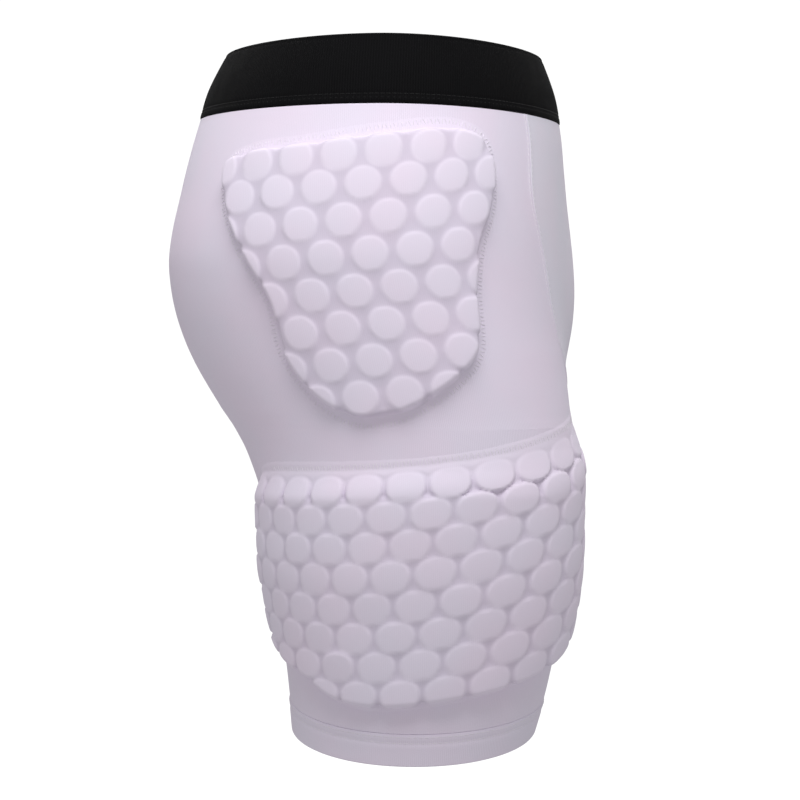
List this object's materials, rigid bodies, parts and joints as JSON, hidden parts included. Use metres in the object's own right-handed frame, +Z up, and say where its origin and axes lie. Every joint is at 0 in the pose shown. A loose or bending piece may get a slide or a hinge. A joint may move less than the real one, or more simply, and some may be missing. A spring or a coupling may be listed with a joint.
{
  "type": "padded compression shorts",
  "caption": "Stretch compression shorts with an elastic waistband, hem bands, and raised foam-cell pads on the hips and thighs, shown in worn form.",
  "frame": {"origin": "middle of the waist opening, in the plane of the waistband's rim, where the wearer's waist holds the shorts", "axes": "+Z up, the front faces -Y, the wearer's right side is -X"},
  "size_m": [0.367, 0.2522, 0.4264],
  "materials": {
    "stretch_fabric": "matte fine knit",
    "front_fabric": "matte fine knit",
    "elastic": "matte ribbed elastic",
    "hem_fabric": "matte folded knit",
    "pad_fabric": "matte knit over foam cells"
  },
  "bodies": {
    "root": {"body": "stretch_fabric", "front_panel": "front_fabric", "waistband": "elastic", "hem_right": "hem_fabric", "hem_left": "hem_fabric", "hip_pad_right": "pad_fabric", "hip_pad_left": "pad_fabric", "thigh_pad_right": "pad_fabric", "thigh_pad_left": "pad_fabric"}
  },
  "joints": []
}
